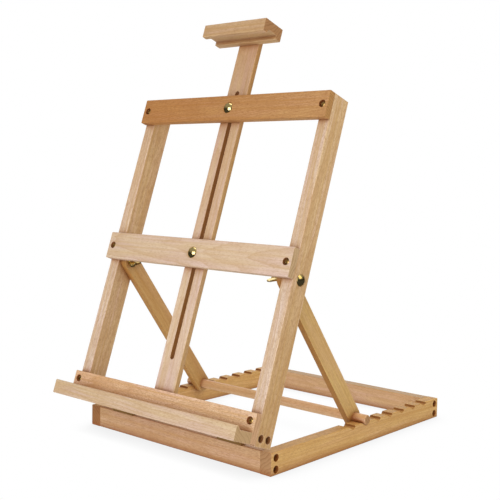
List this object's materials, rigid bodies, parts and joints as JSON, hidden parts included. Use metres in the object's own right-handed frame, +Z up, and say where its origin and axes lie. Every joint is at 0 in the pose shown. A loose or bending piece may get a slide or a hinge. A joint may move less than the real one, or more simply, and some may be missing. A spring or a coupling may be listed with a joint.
{
  "type": "tabletop easel",
  "caption": "Wooden tabletop easel: notched base frame, hinged leaning frame with tray, swinging rod prop and a sliding slotted mast with a grooved canvas clamp.",
  "frame": {"origin": "middle of the front rail's underside, on the table plane, under the hinge line", "axes": "+Z up, -Y the front where the canvas ledge is, +X to the right as seen from the front"},
  "size_m": [0.3252, 0.4392, 0.5391],
  "materials": {
    "beech_side_rail": "smooth sanded beech with a thin satin oil finish",
    "beech_cross_rail": "smooth sanded beech with a thin satin oil finish",
    "beech_stile": "smooth sanded beech with a thin satin oil finish",
    "beech_top_crossbar": "smooth sanded beech with a thin satin oil finish",
    "beech_mid_crossbar": "smooth sanded beech with a thin satin oil finish",
    "beech_ledge_plate": "smooth sanded beech with a thin satin oil finish",
    "beech_ledge_tray": "smooth sanded beech with a thin satin oil finish",
    "beech_mast": "smooth sanded beech with a thin satin oil finish",
    "beech_clamp": "smooth sanded beech with a thin satin oil finish",
    "beech_strut": "smooth sanded beech with a thin satin oil finish",
    "beech_rod": "smooth sanded beech with a thin satin oil finish",
    "polished_brass": "polished brass plate",
    "brass_screw": "brass-plated steel, slightly dulled"
  },
  "bodies": {
    "base": {"left_rail": "beech_side_rail", "right_rail": "beech_side_rail", "front_rail": "beech_cross_rail", "back_rail": "beech_cross_rail", "base_screws": "brass_screw", "base_hinge_leaves": "polished_brass", "hinge_pins": "polished_brass", "base_hinge_screws": "brass_screw"},
    "frame": {"left_stile": "beech_stile", "right_stile": "beech_stile", "top_crossbar": "beech_top_crossbar", "mid_crossbar": "beech_mid_crossbar", "frame_bottom_rail": "beech_cross_rail", "ledge_plate": "beech_ledge_plate", "ledge_tray": "beech_ledge_tray", "crossbar_screws": "brass_screw", "ledge_screws": "brass_screw", "tray_screws": "brass_screw", "bottom_rail_screws": "brass_screw", "frame_hinge_leaves": "polished_brass", "frame_hinge_screws": "brass_screw", "mast_bolts": "polished_brass", "mast_washers": "polished_brass", "prop_bolts": "polished_brass", "prop_spacers": "polished_brass", "prop_washers": "polished_brass"},
    "mast": {"mast": "beech_mast", "canvas_clamp": "beech_clamp", "clamp_screws": "brass_screw"},
    "prop": {"left_strut": "beech_strut", "right_strut": "beech_strut", "prop_rod": "beech_rod"},
    "upper_wing_nut": {"upper_wing_nut": "polished_brass"},
    "lower_wing_nut": {"lower_wing_nut": "polished_brass"},
    "left_wing_nut": {"left_wing_nut": "polished_brass"},
    "right_wing_nut": {"right_wing_nut": "polished_brass"}
  },
  "joints": [
    {"name": "frame_tilt", "type": "hinge", "parent": "base", "child": "frame", "pos_m": [0, -0.009, 0.0298], "axis": [-1, 0, 0], "range_deg": [0, 71.4]},
    {"name": "prop_swing", "type": "hinge", "parent": "frame", "child": "prop", "pos_m": [0, 0.03786, 0.22199], "axis": [1, 0, 0], "range_deg": [0, 123.22]},
    {"name": "mast_slide", "type": "slide", "parent": "frame", "child": "mast", "axis": [0, 0.319, 0.9478], "range_m": [0, 0.1315]},
    {"name": "upper_wing_nut_turn", "type": "hinge", "parent": "frame", "child": "upper_wing_nut", "pos_m": [0, 0.10182, 0.42173], "axis": [0, 0.9478, -0.319], "continuous": true},
    {"name": "lower_wing_nut_turn", "type": "hinge", "parent": "frame", "child": "lower_wing_nut", "pos_m": [0, 0.03993, 0.23786], "axis": [0, 0.9478, -0.319], "continuous": true},
    {"name": "left_wing_nut_turn", "type": "hinge", "parent": "frame", "child": "left_wing_nut", "pos_m": [-0.125, 0.03786, 0.22199], "axis": [1, 0, 0], "continuous": true},
    {"name": "right_wing_nut_turn", "type": "hinge", "parent": "frame", "child": "right_wing_nut", "pos_m": [0.125, 0.03786, 0.22199], "axis": [1, 0, 0], "continuous": true}
  ],
  "couplings": [
    {"joint": "prop_swing", "follows": "frame_tilt", "ratio": 1.7215}
  ]
}
